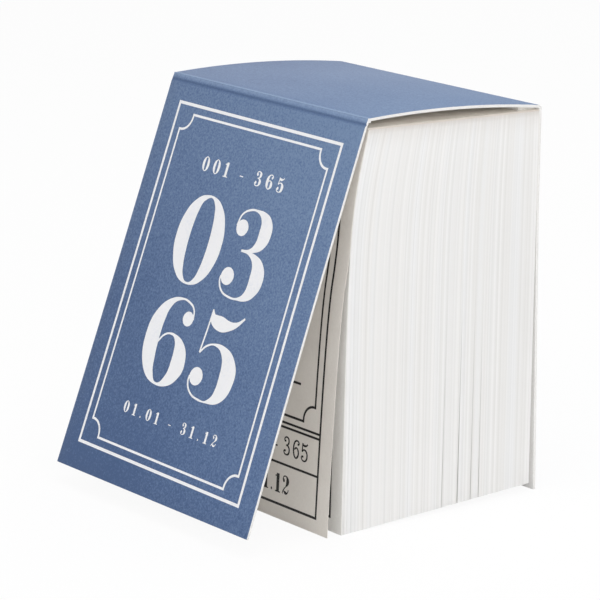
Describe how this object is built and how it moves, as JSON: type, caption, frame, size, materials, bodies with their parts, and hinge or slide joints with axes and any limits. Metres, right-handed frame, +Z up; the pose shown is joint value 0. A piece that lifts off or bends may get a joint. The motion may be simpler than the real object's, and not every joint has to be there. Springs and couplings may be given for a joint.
{
  "type": "tear-off day calendar",
  "caption": "Small tear-off day calendar: a gummed block of thin day leaves in a creased card cover, standing upright on its foot with the front cover propped open.",
  "frame": {"origin": "on the desk under the middle of the calendar's box, as it stands with its cover propped open", "axes": "+Z up, -Y towards the front where the cover opens, +X to the right as seen from the front"},
  "size_m": [0.0532, 0.0634, 0.0698],
  "materials": {
    "cover_card": "matt printed card, white inside",
    "leaf_paper": "uncoated white paper",
    "padding_gum": "flexible padding gum",
    "glue": "white glue"
  },
  "bodies": {
    "block": {"january_leaves": "leaf_paper", "february_leaves": "leaf_paper", "march_leaves": "leaf_paper", "april_leaves": "leaf_paper", "may_leaves": "leaf_paper", "june_leaves": "leaf_paper", "july_leaves": "leaf_paper", "august_leaves": "leaf_paper", "september_leaves": "leaf_paper", "october_leaves": "leaf_paper", "november_leaves": "leaf_paper", "december_leaves": "leaf_paper", "head_gum": "padding_gum", "spine_glue": "glue", "back_glue": "glue", "spine_panel": "cover_card", "back_cover": "cover_card"},
    "title_leaf": {"title_leaf": "leaf_paper"},
    "front_cover": {"front_cover": "cover_card"},
    "first_day_leaf": {"first_day_leaf": "leaf_paper"}
  },
  "joints": [
    {"name": "title_leaf_lift", "type": "hinge", "parent": "block", "child": "title_leaf", "pos_m": [0, -0.00703, 0.06957], "axis": [-1, 0, 0], "range_deg": [0, 45]},
    {"name": "front_cover_fold", "type": "hinge", "parent": "title_leaf", "child": "front_cover", "pos_m": [0, -0.00703, 0.06957], "axis": [-1, 0, 0], "range_deg": [-7, 190]},
    {"name": "first_day_leaf_tear", "type": "slide", "parent": "block", "child": "first_day_leaf", "axis": [1, 0, 0], "range_m": [0, 0.06]}
  ]
}
